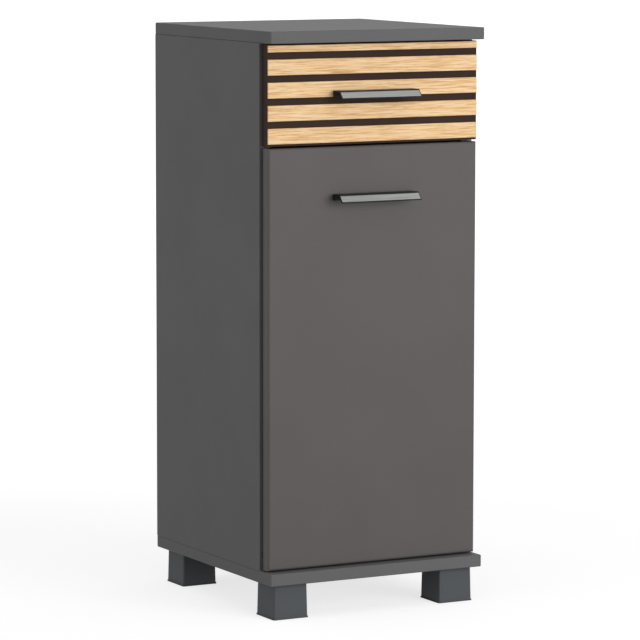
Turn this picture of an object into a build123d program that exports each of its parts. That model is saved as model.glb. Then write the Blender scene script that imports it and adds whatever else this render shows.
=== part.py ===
from build123d import *
import os
from math import atan, atan2, cos, degrees, sin

os.makedirs("parts", exist_ok=True)

# Bathroom floor cabinet with one drawer over one door, on four square feet.
# Millimetres, +Z up, the front looks towards -Y. The origin is on the floor, under the
# middle of the whole cabinet, handles included.

# Carcass boards
width = 300
depth = 320
height = 725
board = 15
edge_bevel = 0.8
foot_height = 44

# Fronts: how they lie on and between the boards
front_thickness = 15
front_overhang = 13
front_gap = 2.5
front_inset = 3
front_play = 2
front_split = 2.5
drawer_front_height = 123.5
door_edge_round = 3
door_back_bevel = 0.8

# Striped drawer front
slat_height = 19.2
slat_gap = 8.8
slat_thickness = 1.5
slat_count = 5
slat_start = 2.7
slat_top_margin = 0.6
slat_bevel = 0.4

# Glued joints: tongues on the side panels, and grooves and housings in the boards
tongue = 5
tongue_reach = 6
tongue_stop = 20
groove_depth = 6
groove_play = 0.1
groove_end_play = 0.5
housing_depth = 4
back_thickness = 3
back_from_rear = 12

# Shelves and pins
shelf_setback = 22
shelf_play = 1
divider_drop = 1
divider_setback = 2
pin_radius = 2.5
pin_seat = 8
pin_reach = 7
pin_from_edge = 37

# Feet
foot_base = 47
foot_top = 45.4
foot_lip = 1
foot_lip_height = 1.6
foot_corner = 2
foot_wall = 2.5
foot_plate = 4
foot_side_inset = 9
foot_front_inset = 9
foot_rear_inset = 12
foot_rib = 1.6
foot_rib_recess = 5
foot_boss = 14
foot_boss_recess = 12
foot_plug_radius = 5
foot_plug = 10

# Screws: shank radius, head radius, head height
handle_screw = (2, 4, 2.2)
arm_screw = (2.5, 4, 2)
hole_past = 1
fit = 0.05

# Bar handles: an extruded awning with a back flange, a top web and a sloped face
handle_length = 116
handle_hole_pitch = 96
handle_flange = 5
handle_flange_height = 7.5
handle_web = 1.8
handle_web_reach = 16
handle_face_reach = 24
handle_face_drop = 9
handle_face = 1.6
handle_bite = 4
door_handle_drop = 62
drawer_handle_raise = 0.9

# Concealed hinges: each turns on one pin in its cup
hinge_from_end = 90
cup_radius = 17.5
cup_depth = 12.4
cup_floor = 0.6
cup_wall = 0.8
cup_from_edge = 3.5
cup_pocket = 13.6
cup_flange = 0.8
cup_flange_margin = 1
pivot_from_edge = 7.6
pivot_depth = 9
pivot_radius = 1.5
knuckle_radius = 2.4
knuckle_width = 8.6
arm_thickness = 2
arm_width = 11
arm_standoff = 9
arm_bend = 3.5
plate_from_edge = 37
plate_base = 2
plate_wing_length = 46
plate_wing_width = 14
plate_wing_corner = 4
plate_length = 42

# Drawer box
runner_gap = 12.5
drawer_board = 12
drawer_length = 250
drawer_side_height = 83
drawer_bottom_thickness = 3
drawer_bottom_rise = 10
drawer_back_inset = 8
drawer_front_housing = 5

# Roller runners
runner_length = 250
runner_setback = 2
runner_sheet = 1.2
runner_reach = 10.5
runner_above_divider = 11
member_front_play = 1
member_seat = 4.2
member_reach = 12
rail_reach = 10.4
rail_notch = 24
roller_radius = 8.5
roller_width = 6
roller_play = 0.3
roller_headroom = 3.4
rail_below_runner = 2.6
roller_standoff = 0.8
roller_from_end = 12
axle_radius = 2.5
axle_head_radius = 3.6
axle_head = 0.8
axle_head_gap = 0.2

# Both rails are as high as the rollers in them need
runner_height = 2 * (roller_radius + runner_sheet) + roller_headroom
rail_height = runner_height - rail_below_runner

# Buffer pads
buffer_size = 8
buffer_from_end = 18
buffer_play = 0.1

# Planes that the pieces share. The handles stand furthest forward, so the middle of the
# whole lies between their lips and the rear edges of the boards.
half_width = width / 2
inner_x = half_width - board
board_middle_x = half_width - board / 2
handle_lead = handle_face_reach - front_overhang
front_y = (handle_lead - depth) / 2
rear_y = front_y + depth
face_y = front_y + front_overhang
fronts_back_y = face_y + front_thickness
side_front_y = fronts_back_y + front_gap
back_y = rear_y - back_from_rear - back_thickness
floor_top_z = foot_height + board
top_under_z = height - board
front_half_width = half_width - front_inset
door_bottom_z = floor_top_z + front_play
drawer_front_top_z = top_under_z - front_play
drawer_front_z = drawer_front_top_z - drawer_front_height
door_top_z = drawer_front_z - front_split
divider_top_z = door_top_z - divider_drop
divider_z = divider_top_z - board
groove_bite = groove_depth - groove_end_play
hinge_zs = [door_bottom_z + hinge_from_end, door_top_z - hinge_from_end]

SIT = (Align.CENTER, Align.CENTER, Align.MIN)
SINK = (Align.CENTER, Align.CENTER, Align.MAX)
UP, DOWN = (0, 0, 1), (0, 0, -1)
FORWARD, BACKWARD = (0, -1, 0), (0, 1, 0)


def save(builder, name):
    """Label a finished piece and write its STEP file."""
    builder.part.label = name
    export_step(builder.part, f"parts/{name}.step")


def facing(points, direction):
    """Places on a face: the points, each looking along the face's outward direction."""
    return Locations(*[Plane(origin=point, z_dir=direction) for point in points])


def slab(x_span, y_span, z_span, mode=Mode.ADD):
    """A board, or a straight groove, between three pairs of planes."""
    centre = [(low + high) / 2 for low, high in (x_span, y_span, z_span)]
    with Locations(tuple(centre)):
        Box(x_span[1] - x_span[0], y_span[1] - y_span[0], z_span[1] - z_span[0], mode=mode)


def widen(span, play):
    """A span with play at both ends."""
    return (span[0] - play, span[1] + play)


def add_screws(points, direction, kind, length):
    """Screws with flat pan heads on a face, their shanks going in."""
    shank, head, head_height = kind
    with facing(points, direction):
        Cylinder(head, head_height, align=SIT)
        Cylinder(shank, length, align=SINK)


def drill(points, direction, radius, hole_depth):
    """Holes from a face, against its outward direction."""
    with facing(points, direction):
        Hole(radius, hole_depth)


def across(side):
    """The direction from a side panel into the cabinet: side is -1 left, +1 right."""
    return (-side, 0, 0)


sides = (("left", -1), ("right", 1))

# Feet: moulded square shells with a flared lip, ribs round a boss, and a plug on top that
# is pressed into the bottom panel
foot_x = half_width - foot_side_inset - foot_base / 2
foot_front_y = front_y + foot_front_inset + foot_base / 2
foot_rear_y = rear_y - foot_rear_inset - foot_base / 2
foot_taper = degrees(atan((foot_base - foot_top) / 2 / (foot_height - foot_lip_height)))
foot_inside = foot_top - 2 * foot_wall
foot_places = {
    "foot_front_left": (-foot_x, foot_front_y),
    "foot_front_right": (foot_x, foot_front_y),
    "foot_rear_left": (-foot_x, foot_rear_y),
    "foot_rear_right": (foot_x, foot_rear_y),
}
for name, place in foot_places.items():
    with BuildPart() as foot:
        with BuildSketch(Plane.XY.offset(foot_lip_height)):
            with Locations(place):
                Rectangle(foot_base, foot_base)
        extrude(amount=foot_height - foot_lip_height, taper=foot_taper)
        rising = foot.edges().filter_by(lambda edge: edge.length > foot_height / 2 and edge.length < foot_top)
        fillet(rising, foot_corner)
        with BuildSketch(Plane.XY):
            with Locations(place):
                RectangleRounded(foot_base + 2 * foot_lip, foot_base + 2 * foot_lip, foot_corner + foot_lip)
        extrude(amount=foot_lip_height)
        with BuildSketch(Plane.XY):
            with Locations(place):
                Rectangle(foot_inside, foot_inside)
        extrude(amount=foot_height - foot_plate, mode=Mode.SUBTRACT)
        with BuildSketch(Plane.XY.offset(foot_rib_recess)):
            with Locations(place):
                Rectangle(foot_inside, foot_rib)
                Rectangle(foot_rib, foot_inside)
        extrude(amount=foot_height - foot_plate - foot_rib_recess)
        with BuildSketch(Plane.XY.offset(foot_boss_recess)):
            with Locations(place):
                Rectangle(foot_boss, foot_boss)
        extrude(amount=foot_height - foot_plate - foot_boss_recess)
        with BuildSketch(Plane.XY.offset(foot_height)):
            with Locations(place):
                Circle(foot_plug_radius)
        extrude(amount=foot_plug)
    save(foot, name)

# Top panel: its underside is grooved for the side panels' tongues and for the back panel
tongue_spans = [(side * board_middle_x - tongue / 2, side * board_middle_x + tongue / 2) for _, side in sides]
tongue_y_span = (side_front_y + tongue_stop, back_y - tongue_stop)
back_x_span = (-inner_x - groove_depth, inner_x + groove_depth)
back_y_span = (back_y - groove_play, back_y + back_thickness + groove_play)
with BuildPart() as top_panel:
    slab((-half_width, half_width), (front_y, rear_y), (top_under_z, height))
    chamfer(top_panel.edges(), edge_bevel)
    for span in tongue_spans:
        slab(widen(span, groove_play), widen(tongue_y_span, groove_play),
             (top_under_z, top_under_z + tongue_reach + groove_play), Mode.SUBTRACT)
    slab(back_x_span, back_y_span, (top_under_z, top_under_z + groove_depth), Mode.SUBTRACT)
save(top_panel, "top_panel")

# Bottom panel: the same grooves in its upper face, and holes for the plugs of the feet
with BuildPart() as bottom_panel:
    slab((-half_width, half_width), (front_y, rear_y), (foot_height, floor_top_z))
    chamfer(bottom_panel.edges(), edge_bevel)
    for span in tongue_spans:
        slab(widen(span, groove_play), widen(tongue_y_span, groove_play),
             (floor_top_z - tongue_reach - groove_play, floor_top_z), Mode.SUBTRACT)
    slab(back_x_span, back_y_span, (floor_top_z - groove_depth, floor_top_z), Mode.SUBTRACT)
    drill([(x, y, foot_height) for x, y in foot_places.values()], DOWN, foot_plug_radius + fit,
          foot_plug + hole_past)
save(bottom_panel, "bottom_panel")

# Side panels: a tongue along both ends, a housing for the fixed shelf, a groove for the back
# panel, and holes for the shelf pins
divider_front_y = side_front_y + divider_setback
shelf_pin_z = (floor_top_z + divider_z) / 2
pin_ys = [side_front_y + pin_from_edge, back_y - pin_from_edge]
for (side_name, side), tongue_span in zip(sides, tongue_spans):
    inner = side * inner_x
    with BuildPart() as side_panel:
        slab(sorted((inner, side * half_width)), (side_front_y, rear_y), (floor_top_z, top_under_z))
        slab(tongue_span, tongue_y_span, (floor_top_z - tongue_reach, top_under_z + tongue_reach))
        slab(sorted((inner, inner + side * housing_depth)), (divider_front_y, back_y + back_thickness),
             widen((divider_z, divider_top_z), groove_play), Mode.SUBTRACT)
        slab(sorted((inner, inner + side * groove_depth)), back_y_span, (floor_top_z, top_under_z),
             Mode.SUBTRACT)
        drill([(inner, y, shelf_pin_z) for y in pin_ys], across(side), pin_radius + fit,
              pin_seat + hole_past)
    save(side_panel, f"{side_name}_side_panel")

# Back panel: thin hardboard held in the grooves on all four sides
with BuildPart() as back_panel:
    slab((-inner_x - groove_bite, inner_x + groove_bite), (back_y, back_y + back_thickness),
         (floor_top_z - groove_bite, top_under_z + groove_bite))
save(back_panel, "back_panel")

# Fixed shelf between drawer and door, housed in the side panels
housing_bite = housing_depth - groove_play
with BuildPart() as fixed_shelf:
    slab((-inner_x - housing_bite, inner_x + housing_bite), (divider_front_y, back_y),
         (divider_z, divider_top_z))
save(fixed_shelf, "fixed_shelf")

# Loose shelf on four pins
shelf_z = shelf_pin_z + pin_radius
with BuildPart() as loose_shelf:
    slab((shelf_play - inner_x, inner_x - shelf_play), (side_front_y + shelf_setback, back_y - shelf_play),
         (shelf_z, shelf_z + board))
save(loose_shelf, "loose_shelf")

with BuildPart() as shelf_pins:
    for _, side in sides:
        tips = [(side * (inner_x + pin_seat), y, shelf_pin_z) for y in pin_ys]
        with facing(tips, across(side)):
            Cylinder(pin_radius, pin_seat + pin_reach, align=SIT)
save(shelf_pins, "shelf_pins")

# Buffer pads on the side panels' front edges, where the fronts close on them
with BuildPart() as front_buffers:
    seats = [(-board_middle_x, side_front_y, door_bottom_z + buffer_from_end),
             (-board_middle_x, side_front_y, door_top_z - buffer_from_end)]
    seats += [(side * board_middle_x, side_front_y, drawer_front_top_z - buffer_from_end)
              for _, side in sides]
    with facing(seats, FORWARD):
        Box(buffer_size, buffer_size, front_gap - buffer_play, align=SIT)
save(front_buffers, "front_buffers")

# Door: foil-wrapped board with rounded front edges, two cup bores and two handle holes
cup_x = front_half_width - cup_from_edge - cup_radius
pivot_x = front_half_width - pivot_from_edge
pivot_y = fronts_back_y - pivot_depth
door_handle_z = door_top_z - door_handle_drop
handle_hole_xs = [end * handle_hole_pitch / 2 for end in (-1, 1)]
with BuildPart() as door_panel:
    slab((-front_half_width, front_half_width), (face_y, fronts_back_y), (door_bottom_z, door_top_z))
    fillet(door_panel.faces().sort_by(Axis.Y)[0].edges(), door_edge_round)
    chamfer(door_panel.faces().sort_by(Axis.Y)[-1].edges(), door_back_bevel)
    drill([(cup_x, fronts_back_y, z) for z in hinge_zs], BACKWARD, cup_radius + fit, cup_depth + fit)
    drill([(x, fronts_back_y, door_handle_z) for x in handle_hole_xs], BACKWARD,
          handle_screw[0] + fit, front_thickness)
save(door_panel, "door_panel")

# Hinge cups: pressed into the door, each with a pocket for the arm and a pin across it
with BuildPart() as hinge_cups:
    for hinge_z in hinge_zs:
        with BuildSketch(Plane.XZ.offset(-fronts_back_y)):
            with Locations((cup_x, hinge_z)):
                Circle(cup_radius)
        extrude(amount=cup_depth)
        with BuildSketch(Plane.XZ.offset(-fronts_back_y)):
            with Locations((cup_x, hinge_z)):
                Circle(cup_radius + cup_flange_margin)
        extrude(amount=-cup_flange)
        with BuildSketch(Plane.XZ.offset(-fronts_back_y - cup_flange)):
            with Locations((cup_x, hinge_z)):
                Circle(cup_radius - cup_wall)
                Rectangle(2 * cup_radius, cup_pocket, mode=Mode.INTERSECT)
        extrude(amount=cup_depth + cup_flange - cup_floor, mode=Mode.SUBTRACT)
        with BuildSketch(Plane.XY.offset(hinge_z - cup_pocket / 2)):
            with Locations((pivot_x, pivot_y)):
                Circle(pivot_radius)
        extrude(amount=cup_pocket)
save(hinge_cups, "hinge_cups")

# Hinge arms: cranked strips that run along the side panel, hook round its edge into the cup
# and end in a knuckle on the pin
arm_x = inner_x - arm_standoff
plate_y = side_front_y + plate_from_edge
arm_rear_y = plate_y + plate_length / 2
with BuildPart() as hinge_arms:
    for hinge_z in hinge_zs:
        with BuildSketch(Plane.XY.offset(hinge_z - arm_width / 2)):
            with BuildLine():
                strip = Line((arm_x, arm_rear_y), (arm_x, pivot_y + arm_bend))
                bend = RadiusArc(strip @ 1, (arm_x + arm_bend, pivot_y), -arm_bend)
                Line(bend @ 1, (pivot_x, pivot_y))
                offset(amount=arm_thickness / 2, kind=Kind.TANGENT)
            make_face()
        extrude(amount=arm_width)
        with BuildSketch(Plane.XY.offset(hinge_z - knuckle_width / 2)):
            with Locations((pivot_x, pivot_y)):
                Circle(knuckle_radius)
        extrude(amount=knuckle_width)
    drill([(pivot_x, pivot_y, z + arm_width / 2) for z in hinge_zs], UP, pivot_radius + fit, arm_width)
    drill([(arm_x - arm_thickness / 2, plate_y, z) for z in hinge_zs], across(1), arm_screw[0] + fit,
          arm_thickness)
save(hinge_arms, "hinge_arms")

# Hinge plates: a winged base on the side panel, and the block that the arm is screwed to
plate_block = arm_standoff - arm_thickness / 2 - plate_base
with BuildPart() as hinge_plates:
    for hinge_z in hinge_zs:
        with BuildSketch(Plane.YZ.offset(inner_x)):
            with Locations((plate_y, hinge_z)):
                RectangleRounded(plate_wing_width, plate_wing_length, plate_wing_corner)
                Rectangle(plate_length, arm_width)
        extrude(amount=-plate_base)
        with BuildSketch(Plane.YZ.offset(inner_x - plate_base)):
            with Locations((plate_y, hinge_z)):
                Rectangle(plate_length, arm_width)
        extrude(amount=-plate_block)
    drill([(inner_x - plate_base - plate_block, plate_y, z) for z in hinge_zs], across(1),
          arm_screw[0] + fit, plate_block)
save(hinge_plates, "hinge_plates")

with BuildPart() as hinge_arm_screws:
    add_screws([(arm_x - arm_thickness / 2, plate_y, z) for z in hinge_zs], across(1), arm_screw,
               arm_thickness + plate_block - hole_past)
save(hinge_arm_screws, "hinge_arm_screws")

# Drawer front: a dark board, housed for the drawer sides and grooved for the drawer bottom
slat_back_y = face_y + slat_thickness
drawer_x = inner_x - runner_gap
drawer_inner_x = drawer_x - drawer_board
runner_z = divider_top_z + runner_above_divider
drawer_z = runner_z + member_seat
drawer_top_z = drawer_z + drawer_side_height
drawer_rear_y = fronts_back_y + drawer_length
drawer_floor_z = drawer_z + drawer_bottom_rise
drawer_floor_top_z = drawer_floor_z + drawer_bottom_thickness
drawer_groove_z_span = widen((drawer_floor_z, drawer_floor_top_z), groove_play)
drawer_handle_z = (drawer_front_z + drawer_front_top_z) / 2 + drawer_handle_raise
drawer_side_spans = [sorted((side * drawer_inner_x, side * drawer_x)) for _, side in sides]
with BuildPart() as drawer_front:
    slab((-front_half_width, front_half_width), (slat_back_y, fronts_back_y),
         (drawer_front_z, drawer_front_top_z))
    for span in drawer_side_spans:
        slab(widen(span, groove_play), (fronts_back_y - drawer_front_housing, fronts_back_y),
             widen((drawer_z, drawer_top_z), groove_play), Mode.SUBTRACT)
    slab((-drawer_inner_x - groove_depth, drawer_inner_x + groove_depth),
         (fronts_back_y - groove_depth, fronts_back_y), drawer_groove_z_span, Mode.SUBTRACT)
    drill([(x, fronts_back_y, drawer_handle_z) for x in handle_hole_xs], BACKWARD,
          handle_screw[0] + fit, front_thickness)
save(drawer_front, "drawer_front")

# Oak strips across the drawer front, the top one cut short
slat_pitch = slat_height + slat_gap
with BuildPart() as oak_slats:
    for count in range(slat_count):
        low = drawer_front_z + slat_start + count * slat_pitch
        high = min(low + slat_height, drawer_front_top_z - slat_top_margin)
        slab((-front_half_width, front_half_width), (face_y, slat_back_y), (low, high))
    chamfer(oak_slats.faces().filter_by(Axis.Y).group_by(Axis.Y)[0].edges(), slat_bevel)
    drill([(x, slat_back_y, drawer_handle_z) for x in handle_hole_xs], BACKWARD,
          handle_screw[0] + fit, slat_thickness)
save(oak_slats, "oak_slats")

# Bar handles, one on the door and one on the drawer. The face slopes out and down from the
# web, and its inner side runs parallel to it.
handle_slope = atan2(handle_face_drop, handle_face_reach - handle_web_reach)
lip_run = handle_face * sin(handle_slope)
lip_drop = handle_face * cos(handle_slope)
under_bend = (handle_face - handle_web * cos(handle_slope)) / sin(handle_slope)
flange_y = face_y - handle_flange
bend_y = face_y - handle_web_reach
lip_y = face_y - handle_face_reach
for handle_name, middle_z in (("door_handle", door_handle_z), ("drawer_handle", drawer_handle_z)):
    top_z = middle_z + handle_flange_height / 2
    flange_z = middle_z - handle_flange_height / 2
    lip_z = top_z - handle_face_drop
    web_under_z = top_z - handle_web
    with BuildPart() as handle:
        with BuildSketch(Plane.YZ.offset(-handle_length / 2)):
            with BuildLine():
                Polyline((face_y, top_z), (bend_y, top_z), (lip_y, lip_z), (lip_y + lip_run, lip_z - lip_drop),
                         (bend_y + under_bend, web_under_z), (flange_y, web_under_z), (flange_y, flange_z),
                         (face_y, flange_z), close=True)
            make_face()
        extrude(amount=handle_length)
        drill([(x, face_y, middle_z) for x in handle_hole_xs], BACKWARD, handle_screw[0] + fit, handle_bite)
    save(handle, handle_name)

    with BuildPart() as handle_screws:
        add_screws([(x, fronts_back_y, middle_z) for x in handle_hole_xs], BACKWARD, handle_screw,
                   front_thickness + handle_bite - fit)
    save(handle_screws, f"{handle_name}_screws")

# Drawer box: two sides housed in the front, and a back that stands on the thin bottom
drawer_back_rear_y = drawer_rear_y - drawer_back_inset
drawer_back_y_span = (drawer_back_rear_y - drawer_board, drawer_back_rear_y)
for (side_name, side), span in zip(sides, drawer_side_spans):
    inner = side * drawer_inner_x
    with BuildPart() as drawer_side:
        slab(span, (fronts_back_y - drawer_front_housing + groove_play, drawer_rear_y),
             (drawer_z, drawer_top_z))
        slab(sorted((inner, inner + side * groove_depth)),
             (fronts_back_y - drawer_front_housing, drawer_rear_y), drawer_groove_z_span, Mode.SUBTRACT)
        slab(sorted((inner, inner + side * housing_depth)), widen(drawer_back_y_span, groove_play),
             (drawer_floor_z, drawer_top_z), Mode.SUBTRACT)
    save(drawer_side, f"drawer_{side_name}_side")

with BuildPart() as drawer_back:
    slab((-drawer_inner_x - housing_bite, drawer_inner_x + housing_bite), drawer_back_y_span,
         (drawer_floor_top_z, drawer_top_z))
save(drawer_back, "drawer_back")

with BuildPart() as drawer_bottom:
    slab((-drawer_inner_x - groove_bite, drawer_inner_x + groove_bite),
         (fronts_back_y - groove_bite, drawer_back_rear_y), (drawer_floor_z, drawer_floor_top_z))
save(drawer_bottom, "drawer_bottom")

# Roller runners. The cabinet's rail is a channel with a roller near its front. The drawer's
# rail hooks under the drawer side, rides on that roller and has its own roller at the rear.
rail_under_z = runner_z + rail_height - runner_sheet
web_x = inner_x - runner_sheet
channel_lip_x = inner_x - runner_reach
member_web_x = drawer_x + runner_sheet
member_edge_x = drawer_x - member_reach
rail_edge_x = drawer_x + rail_reach
runner_front_y = side_front_y + runner_setback
member_y = fronts_back_y + member_front_play
member_rear_y = member_y + runner_length
axle_reach = roller_standoff + roller_width + axle_head_gap
front_axle = (web_x, runner_front_y + roller_from_end, rail_under_z - roller_play - roller_radius)
rear_axle = (member_web_x, member_rear_y - roller_from_end,
             runner_z + runner_sheet + roller_play + roller_radius)


def add_axle(point, direction):
    """A roller's axle riveted to a rail: a shank through the roller, and a head past it."""
    with facing([point], direction):
        Cylinder(axle_radius, axle_reach, align=SIT)
    with facing([Vector(*point) + Vector(*direction) * axle_reach], direction):
        Cylinder(axle_head_radius, axle_head, align=SIT)


for side_name, side in sides:
    front_axle_point = (side * front_axle[0], *front_axle[1:])
    rear_axle_point = (side * rear_axle[0], *rear_axle[1:])
    with BuildPart() as channel:
        with BuildSketch(Plane.XZ.offset(-runner_front_y)):
            with BuildLine():
                Polyline([(side * x, runner_z + z) for x, z in (
                    (inner_x, 0), (channel_lip_x, 0), (channel_lip_x, runner_sheet), (web_x, runner_sheet),
                    (web_x, runner_height - runner_sheet), (channel_lip_x, runner_height - runner_sheet),
                    (channel_lip_x, runner_height), (inner_x, runner_height))], close=True)
            make_face()
        extrude(amount=-runner_length)
        add_axle(front_axle_point, across(side))
    save(channel, f"{side_name}_cabinet_runner")

    with BuildPart() as member:
        with BuildSketch(Plane.XZ.offset(-member_y)):
            with BuildLine():
                Polyline([(side * x, z) for x, z in (
                    (member_edge_x, drawer_z - runner_sheet), (member_web_x, drawer_z - runner_sheet),
                    (member_web_x, rail_under_z), (rail_edge_x, rail_under_z),
                    (rail_edge_x, rail_under_z + runner_sheet), (drawer_x, rail_under_z + runner_sheet),
                    (drawer_x, drawer_z), (member_edge_x, drawer_z))], close=True)
            make_face()
        extrude(amount=-runner_length)
        slab(sorted((side * member_web_x, side * rail_edge_x)), (member_rear_y - rail_notch, member_rear_y),
             (rail_under_z, rail_under_z + runner_sheet), Mode.SUBTRACT)
        add_axle(rear_axle_point, (side, 0, 0))
    save(member, f"{side_name}_drawer_runner")

    for end_name, axle_point, way in (("front", front_axle_point, across(side)),
                                      ("rear", rear_axle_point, (side, 0, 0))):
        with BuildPart() as roller:
            with facing([Vector(*axle_point) + Vector(*way) * roller_standoff], way):
                Cylinder(roller_radius, roller_width, align=SIT)
                Cylinder(axle_radius + fit, roller_width, align=SIT, mode=Mode.SUBTRACT)
        save(roller, f"{side_name}_{end_name}_roller")
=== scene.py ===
from math import atan2, cos, pi, radians, sin

import bmesh
import bpy
from mathutils import Matrix, Quaternion, Vector


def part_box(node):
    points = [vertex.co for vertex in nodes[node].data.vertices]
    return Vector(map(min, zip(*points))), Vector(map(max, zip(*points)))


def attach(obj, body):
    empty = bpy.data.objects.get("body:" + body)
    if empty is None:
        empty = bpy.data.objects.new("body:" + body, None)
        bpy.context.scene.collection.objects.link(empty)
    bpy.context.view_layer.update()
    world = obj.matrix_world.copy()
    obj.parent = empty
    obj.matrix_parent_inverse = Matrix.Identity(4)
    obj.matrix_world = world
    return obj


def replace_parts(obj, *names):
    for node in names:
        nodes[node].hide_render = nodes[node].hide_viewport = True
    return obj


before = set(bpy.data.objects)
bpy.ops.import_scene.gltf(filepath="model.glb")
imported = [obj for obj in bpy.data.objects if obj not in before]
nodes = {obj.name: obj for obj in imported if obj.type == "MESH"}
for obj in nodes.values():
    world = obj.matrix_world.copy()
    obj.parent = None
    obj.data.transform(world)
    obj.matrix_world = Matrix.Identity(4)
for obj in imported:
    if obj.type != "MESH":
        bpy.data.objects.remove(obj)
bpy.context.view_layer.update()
MM = 0.001

# Camera: the photograph is a product shot from the left and a little above, taken from
# far off with a long lens, so the cabinet's edges hardly converge. Angles are in radians.
camera_place = Vector((-2249.8, -4170.8, 912.4)) * MM
camera_turn = 0.4949
camera_dip = 0.1181
camera_roll = 0.0013
camera_sight = 100
camera_data = bpy.data.cameras.new("camera")
camera_data.lens = 210.8
camera_data.clip_end = camera_sight
camera = bpy.data.objects.new("camera", camera_data)
camera.location = camera_place
camera.rotation_mode = "QUATERNION"
camera.rotation_quaternion = (Quaternion((0, 0, 1), -camera_turn)
                              @ Quaternion((1, 0, 0), pi / 2 - camera_dip)
                              @ Quaternion((0, 0, 1), camera_roll))
bpy.context.scene.collection.objects.link(camera)
bpy.context.scene.camera = camera
bpy.context.scene.view_settings.view_transform = "Standard"

# Floor and backdrop: a plain pale studio. The camera, gloss and glass see it as white, and
# the floor still takes the cabinet's soft shadow. Its own light rises with distance, so that
# the shadow lies on a darker patch and the far floor fades into the backdrop.
def add_node(material, kind, inputs=None, **settings):
    """One shader node with its settings. An input is a value, or an output socket to link."""
    node = material.node_tree.nodes.new(kind)
    for name, value in settings.items():
        setattr(node, name, value)
    for key, value in (inputs or {}).items():
        if isinstance(value, bpy.types.NodeSocket):
            material.node_tree.links.new(value, node.inputs[key])
        else:
            node.inputs[key].default_value = value
    return node


def colour(text):
    """An sRGB hex colour as linear red, green, blue and alpha."""
    parts = [int(text[i:i + 2], 16) / 255 for i in (1, 3, 5)]
    return [c / 12.92 if c <= 0.04045 else ((c + 0.055) / 1.055) ** 2.4 for c in parts] + [1]


white = (1, 1, 1, 1)
floor_half = 60
floor_own_light = 0.74
shadow_reach = 0.7
floor_fade = 3.0
floor_data = bpy.data.meshes.new("floor")
floor_corners = ((-1, -1), (1, -1), (1, 1), (-1, 1))
floor_data.from_pydata([(x * floor_half, y * floor_half, 0) for x, y in floor_corners], [], [(0, 1, 2, 3)])
floor = bpy.data.objects.new("floor", floor_data)
bpy.context.scene.collection.objects.link(floor)
floor_paint = bpy.data.materials.new("studio_floor_paint")
floor_paint.use_nodes = True
floor_paint.node_tree.nodes.clear()
floor_diffuse = add_node(floor_paint, "ShaderNodeBsdfDiffuse", {"Color": colour("#B4B4B4")})


def seen_directly(material):
    """1 for the rays that show the studio itself: camera, glossy and transmission rays."""
    path = add_node(material, "ShaderNodeLightPath")
    seen = path.outputs["Is Camera Ray"]
    for ray in ("Is Glossy Ray", "Is Transmission Ray"):
        seen = add_node(material, "ShaderNodeMath", {0: seen, 1: path.outputs[ray]},
                        operation="MAXIMUM").outputs[0]
    return seen


floor_place = add_node(floor_paint, "ShaderNodeTexCoord")
floor_reach = add_node(floor_paint, "ShaderNodeVectorMath", {0: floor_place.outputs["Object"]},
                       operation="LENGTH")
floor_own = add_node(floor_paint, "ShaderNodeMapRange", {
    "Value": floor_reach.outputs["Value"], "From Min": shadow_reach, "From Max": floor_fade,
    "To Min": floor_own_light, "To Max": 1.0})
floor_strength = add_node(floor_paint, "ShaderNodeMath",
                          {0: seen_directly(floor_paint), 1: floor_own.outputs[0]}, operation="MULTIPLY")
floor_glow = add_node(floor_paint, "ShaderNodeEmission",
                      {"Color": white, "Strength": floor_strength.outputs[0]})
floor_sum = add_node(floor_paint, "ShaderNodeAddShader",
                     {0: floor_diffuse.outputs[0], 1: floor_glow.outputs[0]})
add_node(floor_paint, "ShaderNodeOutputMaterial", {"Surface": floor_sum.outputs[0]})
floor_data.materials.append(floor_paint)

world = bpy.data.worlds.new("studio")
bpy.context.scene.world = world
world.use_nodes = True
world.node_tree.nodes.clear()
ambient = 0.42
world_strength = add_node(world, "ShaderNodeMapRange",
                          {"Value": seen_directly(world), "To Min": ambient, "To Max": 1.0})
world_light = add_node(world, "ShaderNodeBackground", {"Color": white, "Strength": world_strength.outputs[0]})
add_node(world, "ShaderNodeOutputWorld", {"Surface": world_light.outputs[0]})

# Lamps: one broad softbox in front and to the right, a weak one overhead and a fill from the
# left. The cabinet's front comes out a little lighter than its left side.
lamp_aim = Vector((0, 0, 360)) * MM
for lamp_name, lamp_place, lamp_size, lamp_power in (
        ("front_softbox", (1.3, -3.4, 0.9), 2.2, 80),
        ("top_softbox", (-0.4, -0.6, 3.2), 2.4, 6),
        ("left_fill", (-3.4, 0.3, 0.5), 2.0, 17)):
    lamp_data = bpy.data.lights.new(lamp_name, "AREA")
    lamp_data.shape = "SQUARE"
    lamp_data.size = lamp_size
    lamp_data.energy = lamp_power
    lamp = bpy.data.objects.new(lamp_name, lamp_data)
    lamp.location = lamp_place
    lamp.rotation_mode = "QUATERNION"
    lamp.rotation_quaternion = (lamp_aim - lamp.location).to_track_quat("-Z", "Y")
    bpy.context.scene.collection.objects.link(lamp)


# Carcass boards: particle board faced with an anthracite melamine paper that is pressed with
# a fine pore. It is satin, nearly even in colour, and its rear edges are left raw.
def new_material(name, **sockets):
    """A material with a Principled shader: sockets are its even values, by their names."""
    material = bpy.data.materials.new(name)
    material.use_nodes = True
    shader = material.node_tree.nodes["Principled BSDF"]
    for socket, value in sockets.items():
        shader.inputs[socket.replace("_", " ")].default_value = value
    return material, shader


def link(material, output, socket):
    """A link between two of the material's sockets."""
    material.node_tree.links.new(output, socket)


def grain_places(material, scale):
    """The piece's own coordinates in metres, stretched to a pattern's size along each axis."""
    place = add_node(material, "ShaderNodeTexCoord")
    stretched = add_node(material, "ShaderNodeMapping", {"Vector": place.outputs["Object"], "Scale": scale})
    return stretched.outputs[0]


def dress(material, *node_names):
    """Gives CAD nodes their material."""
    for node_name in node_names:
        mesh = nodes[node_name].data
        mesh.materials.clear()
        mesh.materials.append(material)


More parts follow.
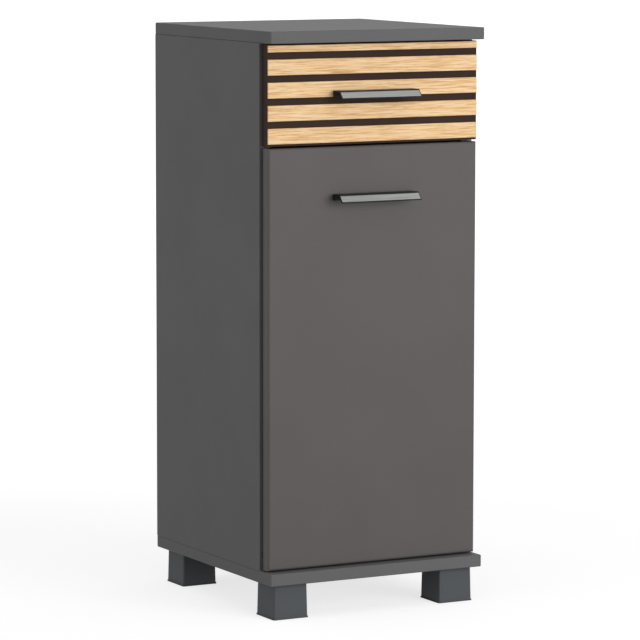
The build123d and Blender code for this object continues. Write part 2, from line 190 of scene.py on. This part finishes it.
def melamine(name, light, dark, roughness=0.5, pore_mm=1.1, gloss=0.05):
    """A melamine-faced board: cloudy by a shade over a hand's width, with fine pores."""
    material, shader = new_material(name, Roughness=roughness, Specular_IOR_Level=gloss)
    clouds_per_metre = (9, 9, 9)
    cloud = add_node(material, "ShaderNodeTexNoise", {
        "Vector": grain_places(material, clouds_per_metre), "Scale": 1.0, "Detail": 4.0, "Roughness": 0.6})
    pore = add_node(material, "ShaderNodeTexNoise", {
        "Vector": grain_places(material, (1 / (pore_mm * MM),) * 3), "Scale": 1.0, "Detail": 3.0,
        "Roughness": 0.7})
    mixed = add_node(material, "ShaderNodeMix", {0: 0.45, 2: cloud.outputs["Fac"], 3: pore.outputs["Fac"]},
                     data_type="FLOAT")
    tint = add_node(material, "ShaderNodeValToRGB", {"Fac": mixed.outputs[0]})
    tint.color_ramp.elements[0].position = 0.3
    tint.color_ramp.elements[0].color = colour(dark)
    tint.color_ramp.elements[1].position = 0.7
    tint.color_ramp.elements[1].color = colour(light)
    bump = add_node(material, "ShaderNodeBump", {"Strength": 0.12, "Distance": 0.1 * MM,
                                                 "Height": pore.outputs["Fac"]})
    link(material, bump.outputs[0], shader.inputs["Normal"])
    return material, shader, tint


boards, boards_shader, boards_tint = melamine("anthracite_melamine_board", "#717171", "#696969")
raw_depth = 0.15 * MM
chips_per_metre = (420, 420, 700)
rear_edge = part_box("top_panel")[1].y - raw_depth
edge_place = add_node(boards, "ShaderNodeTexCoord")
edge_split = add_node(boards, "ShaderNodeSeparateXYZ", {0: edge_place.outputs["Object"]})
edge_mask = add_node(boards, "ShaderNodeMath", {0: edge_split.outputs["Y"], 1: rear_edge},
                     operation="GREATER_THAN")
chips = add_node(boards, "ShaderNodeTexVoronoi",
                 {"Vector": grain_places(boards, chips_per_metre), "Scale": 1.0})
chip_tint = add_node(boards, "ShaderNodeValToRGB", {"Fac": chips.outputs["Color"]})
chip_tint.color_ramp.elements[0].color = colour("#A08058")
chip_tint.color_ramp.elements[1].color = colour("#DCC298")
board_colour = add_node(boards, "ShaderNodeMix", {0: edge_mask.outputs[0], 6: boards_tint.outputs[0],
                                                  7: chip_tint.outputs[0]}, data_type="RGBA")
link(boards, board_colour.outputs[2], boards_shader.inputs["Base Color"])
dress(boards, "top_panel", "bottom_panel", "left_side_panel", "right_side_panel", "fixed_shelf",
      "loose_shelf")


# Back panel: thin hardboard with a grey printed face, slid into grooves on all four sides.
back, back_shader, back_tint = melamine("grey_faced_hardboard", "#6B6966", "#5E5C5A", roughness=0.7)
link(back, back_tint.outputs[0], back_shader.inputs["Base Color"])
dress(back, "back_panel")

# Door: fibreboard wrapped with a slightly warmer anthracite foil, drawn over its rounded
# edges. It is satin and a touch smoother than the boards.
door_foil, door_foil_shader, door_foil_tint = melamine("anthracite_door_foil", "#646060", "#5E5A59",
                                                       roughness=0.42, pore_mm=1.6, gloss=0.12)
link(door_foil, door_foil_tint.outputs[0], door_foil_shader.inputs["Base Color"])
dress(door_foil, "door_panel")

# Drawer front: a dark brown decor board that shows between the oak strips and at the ends.
brown, brown_shader, brown_tint = melamine("dark_brown_decor_board", "#413129", "#30231E", roughness=0.5)
link(brown, brown_tint.outputs[0], brown_shader.inputs["Base Color"])
dress(brown, "drawer_front")

# Oak strips: printed oak foil with fine level grain, light early wood and browner late wood,
# and small dark pores drawn out along the grain.
oak, oak_shader = new_material("light_oak_foil", Roughness=0.48, Specular_IOR_Level=0.3)
grain_per_metre = (26, 60, 720)
pores_per_metre = (38, 200, 1500)
grain = add_node(oak, "ShaderNodeTexNoise", {"Vector": grain_places(oak, grain_per_metre), "Scale": 1.0,
                                             "Detail": 6.0, "Roughness": 0.62, "Distortion": 0.25})
grain_tint = add_node(oak, "ShaderNodeValToRGB", {"Fac": grain.outputs["Fac"]})
grain_tint.color_ramp.elements[0].position = 0.28
grain_tint.color_ramp.elements[0].color = colour("#CF9556")
grain_tint.color_ramp.elements[1].position = 0.72
grain_tint.color_ramp.elements[1].color = colour("#FFE8C2")
grain_middle = grain_tint.color_ramp.elements.new(0.5)
grain_middle.color = colour("#FACF97")
pores = add_node(oak, "ShaderNodeTexNoise", {"Vector": grain_places(oak, pores_per_metre), "Scale": 1.0,
                                             "Detail": 2.0})
pore_mask = add_node(oak, "ShaderNodeMapRange", {"Value": pores.outputs["Fac"], "From Min": 0.33,
                                                 "From Max": 0.42, "To Min": 0.4, "To Max": 0.0})
oak_colour = add_node(oak, "ShaderNodeMix", {0: pore_mask.outputs[0], 6: grain_tint.outputs[0],
                                             7: colour("#96612F")}, data_type="RGBA")
link(oak, oak_colour.outputs[2], oak_shader.inputs["Base Color"])
oak_bump = add_node(oak, "ShaderNodeBump",
                    {"Strength": 0.15, "Distance": 0.1 * MM, "Height": grain.outputs["Fac"]})
link(oak, oak_bump.outputs[0], oak_shader.inputs["Normal"])
dress(oak, "oak_slats")

# Drawer box: thin boards faced in white, and a white-faced hardboard bottom.
box_board, box_shader, box_tint = melamine("white_melamine_board", "#D9D8D4", "#CFCDC8", roughness=0.45)
link(box_board, box_tint.outputs[0], box_shader.inputs["Base Color"])
dress(box_board, "drawer_left_side", "drawer_right_side", "drawer_back", "drawer_bottom")

# Feet: injection-moulded dark grey plastic with a fine spark-eroded texture and a soft sheen.
feet_plastic, feet_shader = new_material("moulded_dark_grey_plastic", Roughness=0.5, Specular_IOR_Level=0.08)
grit_per_metre = (2200, 2200, 2200)
feet_grit = add_node(feet_plastic, "ShaderNodeTexNoise",
                     {"Vector": grain_places(feet_plastic, grit_per_metre), "Scale": 1.0, "Detail": 2.0})
feet_tint = add_node(feet_plastic, "ShaderNodeValToRGB", {"Fac": feet_grit.outputs["Fac"]})
feet_tint.color_ramp.elements[0].position = 0.3
feet_tint.color_ramp.elements[0].color = colour("#55585B")
feet_tint.color_ramp.elements[1].position = 0.7
feet_tint.color_ramp.elements[1].color = colour("#5E6164")
link(feet_plastic, feet_tint.outputs[0], feet_shader.inputs["Base Color"])
feet_bump = add_node(feet_plastic, "ShaderNodeBump", {"Strength": 0.1, "Distance": 0.05 * MM,
                                                      "Height": feet_grit.outputs["Fac"]})
link(feet_plastic, feet_bump.outputs[0], feet_shader.inputs["Normal"])
dress(feet_plastic, "foot_front_left", "foot_front_right", "foot_rear_left", "foot_rear_right")

# Buffers: soft dark grey plastic pads stuck on the front edges of the side panels.
pads, pads_shader, pads_tint = melamine("soft_dark_plastic", "#3C3C3C", "#303030", roughness=0.8)
link(pads, pads_tint.outputs[0], pads_shader.inputs["Base Color"])
dress(pads, "front_buffers")


# Bar handles: an extruded profile, anodised black. A back flange is screwed to the front, a
# web reaches out, and the face slopes down from it. A brushed strip is inlaid in the face.
def brushed(name, light, dark, roughness, along):
    """A brushed metal: along is the count of scratches per metre on each axis."""
    material, shader = new_material(name, Metallic=1.0, Roughness=roughness)
    scratches = add_node(material, "ShaderNodeTexNoise", {
        "Vector": grain_places(material, along), "Scale": 1.0, "Detail": 4.0, "Roughness": 0.7})
    tint = add_node(material, "ShaderNodeValToRGB", {"Fac": scratches.outputs["Fac"]})
    tint.color_ramp.elements[0].position = 0.3
    tint.color_ramp.elements[0].color = colour(dark)
    tint.color_ramp.elements[1].position = 0.7
    tint.color_ramp.elements[1].color = colour(light)
    link(material, tint.outputs[0], shader.inputs["Base Color"])
    bump = add_node(material, "ShaderNodeBump", {"Strength": 0.2, "Distance": 0.03 * MM,
                                                 "Height": scratches.outputs["Fac"]})
    link(material, bump.outputs[0], shader.inputs["Normal"])
    return material


inlay_metal = brushed("brushed_aluminium_inlay", "#B8BBB8", "#7D807F", 0.38, (14, 1400, 1400))
black, black_shader = new_material("black_anodised_aluminium", Roughness=0.42, Specular_IOR_Level=0.2)
die_lines_per_metre = (40, 900, 900)
die_lines = add_node(black, "ShaderNodeTexNoise",
                     {"Vector": grain_places(black, die_lines_per_metre), "Scale": 1.0, "Detail": 3.0})
black_tint = add_node(black, "ShaderNodeValToRGB", {"Fac": die_lines.outputs["Fac"]})
black_tint.color_ramp.elements[0].color = colour("#111112")
black_tint.color_ramp.elements[1].color = colour("#1B1B1C")
link(black, black_tint.outputs[0], black_shader.inputs["Base Color"])


def finish_piece(name, mesh, material, body):
    """A new piece: an object from a mesh, with its material and body."""
    data = bpy.data.meshes.new(name)
    mesh.to_mesh(data)
    mesh.free()
    piece = bpy.data.objects.new(name, data)
    bpy.context.scene.collection.objects.link(piece)
    data.materials.append(material)
    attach(piece, body)
    return piece


def shade_by_angle(piece, degrees=35):
    """Smooth shading, apart from edges sharper than the angle."""
    data = piece.data
    data.polygons.foreach_set("use_smooth", [True] * len(data.polygons))
    mesh = bmesh.new()
    mesh.from_mesh(data)
    for edge in mesh.edges:
        if len(edge.link_faces) == 2 and edge.calc_face_angle(0) > radians(degrees):
            edge.smooth = False
    mesh.to_mesh(data)
    mesh.free()


def rounded_path(points, radii, steps=5):
    """A closed outline with round corners: a corner with radius 0 stays sharp."""
    outline = []
    count = len(points)
    for i, radius in enumerate(radii):
        corner = Vector(points[i])
        before = (Vector(points[i - 1]) - corner).normalized()
        after = (Vector(points[(i + 1) % count]) - corner).normalized()
        if radius == 0:
            outline.append(corner)
            continue
        half = before.angle(after) / 2
        reach = radius / (sin(half) / cos(half))
        middle = corner + (before + after).normalized() * (radius / sin(half))
        start, end = corner + before * reach - middle, corner + after * reach - middle
        turn = start.angle_signed(end)
        for step in range(steps + 1):
            angle = -turn * step / steps
            outline.append(middle + Vector((start.x * cos(angle) - start.y * sin(angle),
                                            start.x * sin(angle) + start.y * cos(angle))))
    return outline


def extrude_outline(outline, place, low, high):
    """A prism: place turns an outline point and a length into a point in space."""
    mesh = bmesh.new()
    rings = [[mesh.verts.new(place(point, length)) for point in outline] for length in (low, high)]
    count = len(outline)
    for i in range(count):
        mesh.faces.new((rings[0][i], rings[0][(i + 1) % count], rings[1][(i + 1) % count], rings[1][i]))
    mesh.faces.new(rings[0])
    mesh.faces.new(list(reversed(rings[1])))
    bmesh.ops.recalc_face_normals(mesh, faces=mesh.faces)
    return mesh


def deburr(piece, width_mm, degrees=60):
    """A fine bevel on the sharp edges of a cut piece."""
    bevel = piece.modifiers.new("deburred", "BEVEL")
    bevel.width = width_mm * MM
    bevel.segments = 2
    bevel.limit_method = "ANGLE"
    bevel.angle_limit = radians(degrees)


flange, flange_height, web, web_reach = 5.0, 7.5, 1.8, 16.0
face_reach, face_drop, face_sheet = 24.0, 9.0, 1.6
inlay_proud, inlay_margin, inlay_sheet, bend_width = 0.25, 1.2, 0.6, 0.6
trim_left, trim_right = 0.5, 3
slope = atan2(face_drop, face_reach - web_reach)
outward = Vector((-sin(slope), cos(slope)))
down_face = Vector((-cos(slope), -sin(slope)))
under_bend = (face_sheet - web * cos(slope)) / sin(slope)
for handle_name, handle_body in (("door_handle", "door"), ("drawer_handle", "drawer")):
    low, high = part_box(handle_name)
    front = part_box("oak_slats")[0].y / MM
    top = high.z / MM
    left, right = low.x / MM + trim_left, high.x / MM - trim_right
    bend = Vector((front - web_reach, top)) - outward * inlay_proud
    lip = Vector((front - face_reach, top - face_drop)) - outward * inlay_proud
    profile = rounded_path(
        [(front, top), (bend.x + inlay_proud, top), tuple(lip),
         (front - face_reach + face_sheet * sin(slope), top - face_drop - face_sheet * cos(slope)),
         (front - web_reach + under_bend, top - web), (front - flange, top - web),
         (front - flange, top - flange_height), (front, top - flange_height)],
        (0.3, 1.2, 0.5, 0.5, 0.6, 0.8, 0.4, 0.3))

    def place(point, x):
        return Vector((x, point.x, point.y)) * MM

    handle = finish_piece(handle_name + "_profile", extrude_outline(profile, place, left, right), black,
                          handle_body)
    deburr(handle, 0.25)
    shade_by_angle(handle)
    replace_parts(handle, handle_name)
    upper = bend + down_face * (inlay_margin + bend_width)
    lower = lip - down_face * inlay_margin
    inlay = [upper - outward * inlay_sheet, upper + outward * inlay_proud, lower + outward * inlay_proud,
             lower - outward * inlay_sheet]
    inlay_mesh = extrude_outline(inlay, place, left + inlay_margin, right - inlay_margin)
    strip = finish_piece(handle_name + "_inlay", inlay_mesh, inlay_metal, handle_body)
    deburr(strip, 0.12)

# Hinges and pins: stamped steel, nickel-plated to a soft satin. The cups are pressed into the
# door, the arms are screwed on their plates, and the pins are pushed into bores.
nickel = brushed("nickel_plated_steel", "#D2D0CB", "#BDBBB6", 0.42, (500, 500, 500))
dress(nickel, "hinge_cups", "hinge_arms", "hinge_plates", "shelf_pins")


# Screws: pressed pan heads with a cross recess for the driver, zinc-plated. Machine screws
# hold the handles and hinge arms, and wood screws hold the hinge plates and runners.
def add_screw(mesh, centre, out, radius, height, shank, length):
    """One screw in millimetres. Its head stands on a face, and out points away from the face."""
    place = Matrix.Translation(centre) @ Vector(out).to_track_quat("Z", "Y").to_matrix().to_4x4()
    sides = 32
    recess, recess_reach, recess_floor = 0.13 * radius, 0.55 * radius, 0.3 * height

    def ring(points, z):
        return [mesh.verts.new(place @ Vector((x, y, z))) for x, y in points]

    def circle(r):
        return [(r * cos(2 * pi * i / sides), r * sin(2 * pi * i / sides)) for i in range(sides)]

    def band(first, second):
        count = len(first)
        for i in range(count):
            mesh.faces.new((first[i], first[(i + 1) % count], second[(i + 1) % count], second[i]))

    shank_side = ((0.4 * shank, -length), (shank, 0.6 * shank - length), (shank, 0))
    head_side = ((radius, 0), (radius, 0.45 * height), (0.94 * radius, 0.8 * height), (0.8 * radius, height))
    rings = [ring(circle(r), z) for r, z in shank_side + head_side]
    mesh.faces.new(rings[0])
    for first, second in zip(rings, rings[1:]):
        band(first, second)
    cross = [(recess_reach, recess), (recess, recess), (recess, recess_reach)]
    for _ in range(3):
        cross += [(-y, x) for x, y in cross[-3:]]
    mouth = ring(cross, height)
    pit = ring([(0.8 * x, 0.8 * y) for x, y in cross], recess_floor)
    band(mouth, pit)
    mesh.faces.new(pit)
    rims = [mesh.edges.get((loop[i], loop[(i + 1) % len(loop)])) for loop in (rings[-1], mouth)
            for i in range(len(loop))]
    bmesh.ops.triangle_fill(mesh, edges=rims, use_beauty=True)


def screws(name, places, material, body, kind):
    """Like screws as one piece: kind is head radius, head height, shank radius and length."""
    mesh = bmesh.new()
    for centre, out in places:
        add_screw(mesh, centre, out, *kind)
    bmesh.ops.recalc_face_normals(mesh, faces=mesh.faces)
    bmesh.ops.scale(mesh, vec=(MM, MM, MM), verts=mesh.verts)
    piece = finish_piece(name, mesh, material, body)
    shade_by_angle(piece, 30)
    return piece


zinc = brushed("zinc_plated_steel", "#BFC1C3", "#A5A8AB", 0.33, (700, 700, 700))
handle_head, handle_head_height, handle_shank = 4.0, 2.2, 2.0
arm_head, arm_head_height, arm_shank = 4, 2, 2.5
adjuster, adjuster_before_arm_screw = (2.7, 0.8, 1.4, 1.5), 14
wood_screw = (3.2, 1.1, 1.4, 1.0)
plate_half, plate_hole, plate_base = 23, 17, 2
rail_sheet, rail_screws, drawer_rail_screws, drawer_rail_screw_inset = 1.2, (40, 220), (50, 187), 6
for node_name, body in (("door_handle_screws", "door"), ("drawer_handle_screws", "drawer")):
    low, high = (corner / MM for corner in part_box(node_name))
    seat = high.y - handle_head_height
    ends = (low.x + handle_head, high.x - handle_head)
    places = [((x, seat, (low.z + high.z) / 2), (0, 1, 0)) for x in ends]
    kind = (handle_head, handle_head_height, handle_shank, seat - low.y)
    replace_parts(screws(node_name[:-1] + "_heads", places, zinc, body, kind), node_name)

plates_low, plates_high = (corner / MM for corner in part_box("hinge_plates"))
arm_screws_low, arm_screws_high = (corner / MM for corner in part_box("hinge_arm_screws"))
plate_middle = (plates_low.y + plates_high.y) / 2
hinge_heights = (plates_low.z + plate_half, plates_high.z - plate_half)
arm_face = arm_screws_low.x + arm_head_height
arm_places = [((arm_face, plate_middle, z), (-1, 0, 0)) for z in hinge_heights]
arm_screw = (arm_head, arm_head_height, arm_shank, arm_screws_high.x - arm_face)
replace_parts(screws("hinge_arm_machine_screws", arm_places, zinc, "carcass", arm_screw), "hinge_arm_screws")
adjuster_y = plate_middle - adjuster_before_arm_screw
adjuster_places = [((arm_face, adjuster_y, z), (-1, 0, 0)) for z in hinge_heights]
screws("hinge_adjusting_screws", adjuster_places, zinc, "carcass", adjuster)
wing_face = plates_high.x - plate_base
wing_places = [((wing_face, plate_middle, z + end), (-1, 0, 0)) for z in hinge_heights
               for end in (-plate_hole, plate_hole)]
screws("hinge_plate_wood_screws", wing_places, zinc, "carcass", wood_screw)
drawer_rail_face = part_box("drawer_left_side")[0].z / MM - rail_sheet
for side_name, side in (("left", -1), ("right", 1)):
    low, high = (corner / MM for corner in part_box(side_name + "_cabinet_runner"))
    web_face = side * (max(abs(low.x), abs(high.x)) - rail_sheet)
    rail_places = [((web_face, low.y + reach, (low.z + high.z) / 2), (-side, 0, 0)) for reach in rail_screws]
    screws(side_name + "_rail_wood_screws", rail_places, zinc, "carcass", wood_screw)
    low, high = (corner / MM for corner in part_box(side_name + "_drawer_runner"))
    under = side * (min(abs(low.x), abs(high.x)) + drawer_rail_screw_inset)
    drawer_rail_places = [((under, low.y + reach, drawer_rail_face), (0, 0, -1))
                          for reach in drawer_rail_screws]
    screws(side_name + "_drawer_rail_wood_screws", drawer_rail_places, zinc, "drawer", wood_screw)

# Runners: rolled steel rails with a white powder coat, which flows into a fine orange peel.
coat, coat_shader = new_material("white_powder_coat", Roughness=0.34, Specular_IOR_Level=0.5)
peel_per_metre = (900, 900, 900)
peel = add_node(coat, "ShaderNodeTexNoise",
                {"Vector": grain_places(coat, peel_per_metre), "Scale": 1.0, "Detail": 1.0})
coat_tint = add_node(coat, "ShaderNodeValToRGB", {"Fac": peel.outputs["Fac"]})
coat_tint.color_ramp.elements[0].color = colour("#DAD9D2")
coat_tint.color_ramp.elements[1].color = colour("#E4E3DD")
link(coat, coat_tint.outputs[0], coat_shader.inputs["Base Color"])
coat_bump = add_node(coat, "ShaderNodeBump",
                     {"Strength": 0.2, "Distance": 0.05 * MM, "Height": peel.outputs["Fac"]})
link(coat, coat_bump.outputs[0], coat_shader.inputs["Normal"])
dress(coat, "left_cabinet_runner", "right_cabinet_runner", "left_drawer_runner", "right_drawer_runner")

# Rollers: moulded white nylon, turning on the axles riveted to the rails.
nylon, nylon_shader, nylon_tint = melamine("moulded_white_nylon", "#D6D5CF", "#CCCBC4", roughness=0.35)
link(nylon, nylon_tint.outputs[0], nylon_shader.inputs["Base Color"])
dress(nylon, "left_front_roller", "right_front_roller", "left_rear_roller", "right_rear_roller")
